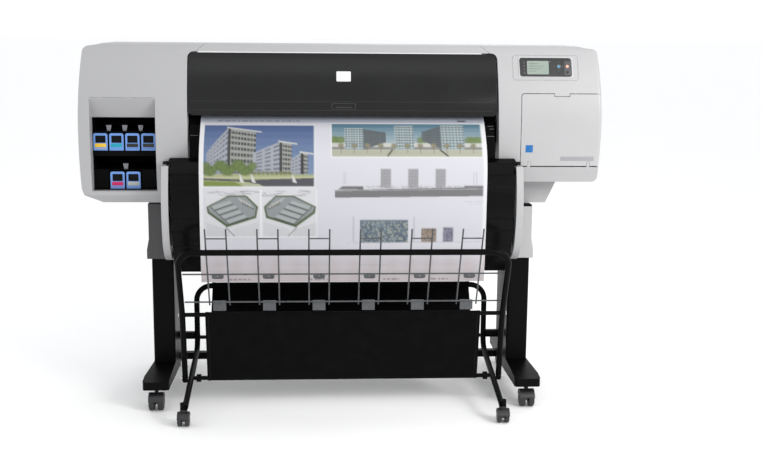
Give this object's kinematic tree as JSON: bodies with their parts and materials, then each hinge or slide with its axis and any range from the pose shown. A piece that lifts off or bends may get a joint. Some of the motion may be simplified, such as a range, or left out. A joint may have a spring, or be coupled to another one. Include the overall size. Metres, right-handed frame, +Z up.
{
  "type": "large format plotter",
  "caption": "Floor-standing wide inkjet plotter with a printed sheet hanging from its slot, a roll drum, a wheeled stand and a cloth and wire print basket.",
  "frame": {"origin": "on the floor, in the middle of the machine's overall box", "axes": "+X to the operator's right along the print line, +Y from the front to the back, +Z up"},
  "size_m": [1.9666, 0.8306, 1.38],
  "materials": {
    "light_grey_plastic": "fine moulded texture",
    "mid_grey_plastic": "fine moulded texture",
    "black_plastic": "satin moulded",
    "rear_sheet": "powder coat",
    "smoked_window": "smoked, polished",
    "black_steel": "fine powder coat",
    "zinc_sheet": "zinc plated",
    "ground_rod": "ground and polished",
    "screw_steel": "blackened",
    "rivet_zinc": "bright zinc",
    "grey_wire": "grey coated wire",
    "dark_plastic": "satin",
    "roll_paper": "matte",
    "printed_paper": "coated, printed",
    "roller_rubber": "ground rubber",
    "screen": "liquid crystal display",
    "lit_key": "backlit",
    "orange_key": "backlit",
    "dark_key": "satin",
    "black_cloth": "plain woven",
    "yellow_ink": "moulded",
    "cyan_ink": "moulded",
    "matte_black_ink": "moulded",
    "photo_black_ink": "moulded",
    "magenta_ink": "moulded",
    "grey_ink": "moulded",
    "caster_plastic": "moulded nylon",
    "caster_tread": "moulded nylon"
  },
  "bodies": {
    "machine": {"basket_rear_hoop": "black_steel", "basket_sling_rear": "black_cloth", "cartridge_bay": "black_plastic", "case_screws": "screw_steel", "chassis": "zinc_sheet", "control_panel": "black_plastic", "display_screen": "screen", "drum_cover": "black_plastic", "left_foot": "black_steel", "left_housing": "light_grey_plastic", "left_leg": "black_steel", "left_leg_bracket": "mid_grey_plastic", "left_side_panel": "light_grey_plastic", "maintenance_cartridge": "dark_plastic", "paper_web": "printed_paper", "platen": "black_plastic", "power_inlet": "black_plastic", "rear_cover": "rear_sheet", "right_foot": "black_steel", "right_housing": "light_grey_plastic", "right_leg": "black_steel", "right_leg_bracket": "light_grey_plastic", "right_side_panel": "light_grey_plastic", "service_station": "black_plastic", "slider_rods": "ground_rod", "stand_braces": "black_steel", "top_cover": "light_grey_plastic"},
    "window": {"window": "smoked_window"},
    "service_door": {"service_door": "light_grey_plastic"},
    "yellow_cartridge": {"yellow_cartridge": "yellow_ink"},
    "cyan_cartridge": {"cyan_cartridge": "cyan_ink"},
    "matte_black_cartridge": {"matte_black_cartridge": "matte_black_ink"},
    "photo_black_cartridge": {"photo_black_cartridge": "photo_black_ink"},
    "magenta_cartridge": {"magenta_cartridge": "magenta_ink"},
    "grey_cartridge": {"grey_cartridge": "grey_ink"},
    "carriage": {"carriage": "black_plastic"},
    "feed_roller": {"feed_roller": "roller_rubber"},
    "ok_button": {"ok_button": "lit_key"},
    "cancel_button": {"cancel_button": "orange_key"},
    "power_button": {"power_button": "dark_key"},
    "upper_roll": {"upper_spindle": "dark_plastic", "upper_paper_roll": "roll_paper"},
    "lower_roll": {"lower_spindle": "dark_plastic", "lower_paper_roll": "roll_paper"},
    "basket_front": {"basket_front_hoop": "black_steel", "basket_rivets": "rivet_zinc", "wire_rack": "grey_wire", "basket_sling_front": "black_cloth"},
    "left_front_caster_fork": {"left_front_caster_fork": "caster_plastic"},
    "left_front_caster_wheel": {"left_front_caster_wheel": "caster_tread"},
    "left_rear_caster_fork": {"left_rear_caster_fork": "caster_plastic"},
    "left_rear_caster_wheel": {"left_rear_caster_wheel": "caster_tread"},
    "right_front_caster_fork": {"right_front_caster_fork": "caster_plastic"},
    "right_front_caster_wheel": {"right_front_caster_wheel": "caster_tread"},
    "right_rear_caster_fork": {"right_rear_caster_fork": "caster_plastic"},
    "right_rear_caster_wheel": {"right_rear_caster_wheel": "caster_tread"},
    "left_basket_caster_fork": {"left_basket_caster_fork": "caster_plastic"},
    "left_basket_caster_wheel": {"left_basket_caster_wheel": "caster_tread"},
    "right_basket_caster_fork": {"right_basket_caster_fork": "caster_plastic"},
    "right_basket_caster_wheel": {"right_basket_caster_wheel": "caster_tread"}
  },
  "joints": [
    {"name": "window_hinge", "type": "hinge", "parent": "machine", "child": "window", "pos_m": [0, -0.078, 1.3445], "axis": [-1, 0, 0], "range_deg": [0, 70]},
    {"name": "service_door_hinge", "type": "hinge", "parent": "machine", "child": "service_door", "pos_m": [0.83, -0.1245, 0.937], "axis": [1, 0, 0], "range_deg": [0, 75]},
    {"name": "yellow_cartridge_slide", "type": "slide", "parent": "machine", "child": "yellow_cartridge", "axis": [0, -1, 0], "range_m": [0, 0.2]},
    {"name": "cyan_cartridge_slide", "type": "slide", "parent": "machine", "child": "cyan_cartridge", "axis": [0, -1, 0], "range_m": [0, 0.2]},
    {"name": "matte_black_cartridge_slide", "type": "slide", "parent": "machine", "child": "matte_black_cartridge", "axis": [0, -1, 0], "range_m": [0, 0.2]},
    {"name": "photo_black_cartridge_slide", "type": "slide", "parent": "machine", "child": "photo_black_cartridge", "axis": [0, -1, 0], "range_m": [0, 0.2]},
    {"name": "magenta_cartridge_slide", "type": "slide", "parent": "machine", "child": "magenta_cartridge", "axis": [0, -1, 0], "range_m": [0, 0.2]},
    {"name": "grey_cartridge_slide", "type": "slide", "parent": "machine", "child": "grey_cartridge", "axis": [0, -1, 0], "range_m": [0, 0.2]},
    {"name": "carriage_slide", "type": "slide", "parent": "machine", "child": "carriage", "axis": [1, 0, 0], "range_m": [-1.33, 0.03]},
    {"name": "upper_roll_spin", "type": "hinge", "parent": "machine", "child": "upper_roll", "pos_m": [0, 0.06, 0.88], "axis": [1, 0, 0], "continuous": true},
    {"name": "lower_roll_spin", "type": "hinge", "parent": "machine", "child": "lower_roll", "pos_m": [0, 0.06, 0.672], "axis": [1, 0, 0], "continuous": true},
    {"name": "feed_roller_spin", "type": "hinge", "parent": "machine", "child": "feed_roller", "pos_m": [0, 0.088, 1.105], "axis": [1, 0, 0], "continuous": true},
    {"name": "ok_button_press", "type": "slide", "parent": "machine", "child": "ok_button", "axis": [0, 0.9452, -0.3266], "range_m": [0, 0.001], "stiffness_N_per_m": 400},
    {"name": "cancel_button_press", "type": "slide", "parent": "machine", "child": "cancel_button", "axis": [0, 0.9452, -0.3266], "range_m": [0, 0.001], "stiffness_N_per_m": 300},
    {"name": "power_button_press", "type": "slide", "parent": "machine", "child": "power_button", "axis": [0, 0.9556, -0.2946], "range_m": [0, 0.001], "stiffness_N_per_m": 300},
    {"name": "basket_front_hinge", "type": "hinge", "parent": "machine", "child": "basket_front", "pos_m": [0, -0.163, 0.112], "axis": [1, 0, 0], "range_deg": [-5, 0]},
    {"name": "left_front_caster_swivel", "type": "hinge", "parent": "machine", "child": "left_front_caster_fork", "pos_m": [-0.712, -0.185, 0.08], "axis": [0, 0, 1], "continuous": true},
    {"name": "left_front_caster_roll", "type": "hinge", "parent": "left_front_caster_fork", "child": "left_front_caster_wheel", "pos_m": [-0.712, -0.201, 0.032], "axis": [1, 0, 0], "continuous": true},
    {"name": "left_rear_caster_swivel", "type": "hinge", "parent": "machine", "child": "left_rear_caster_fork", "pos_m": [-0.712, 0.352, 0.08], "axis": [0, 0, 1], "continuous": true},
    {"name": "left_rear_caster_roll", "type": "hinge", "parent": "left_rear_caster_fork", "child": "left_rear_caster_wheel", "pos_m": [-0.712, 0.368, 0.032], "axis": [1, 0, 0], "continuous": true},
    {"name": "right_front_caster_swivel", "type": "hinge", "parent": "machine", "child": "right_front_caster_fork", "pos_m": [0.712, -0.185, 0.08], "axis": [0, 0, 1], "continuous": true},
    {"name": "right_front_caster_roll", "type": "hinge", "parent": "right_front_caster_fork", "child": "right_front_caster_wheel", "pos_m": [0.712, -0.201, 0.032], "axis": [1, 0, 0], "continuous": true},
    {"name": "right_rear_caster_swivel", "type": "hinge", "parent": "machine", "child": "right_rear_caster_fork", "pos_m": [0.712, 0.352, 0.08], "axis": [0, 0, 1], "continuous": true},
    {"name": "right_rear_caster_roll", "type": "hinge", "parent": "right_rear_caster_fork", "child": "right_rear_caster_wheel", "pos_m": [0.712, 0.368, 0.032], "axis": [1, 0, 0], "continuous": true},
    {"name": "left_basket_caster_swivel", "type": "hinge", "parent": "machine", "child": "left_basket_caster_fork", "pos_m": [-0.59, -0.377, 0.08], "axis": [0, 0, 1], "continuous": true},
    {"name": "left_basket_caster_roll", "type": "hinge", "parent": "left_basket_caster_fork", "child": "left_basket_caster_wheel", "pos_m": [-0.59, -0.387, 0.025], "axis": [1, 0, 0], "continuous": true},
    {"name": "right_basket_caster_swivel", "type": "hinge", "parent": "machine", "child": "right_basket_caster_fork", "pos_m": [0.59, -0.377, 0.08], "axis": [0, 0, 1], "continuous": true},
    {"name": "right_basket_caster_roll", "type": "hinge", "parent": "right_basket_caster_fork", "child": "right_basket_caster_wheel", "pos_m": [0.59, -0.387, 0.025], "axis": [1, 0, 0], "continuous": true}
  ],
  "couplings": [
    {"joint": "feed_roller_spin", "follows": "upper_roll_spin", "ratio": 4.6667}
  ]
}
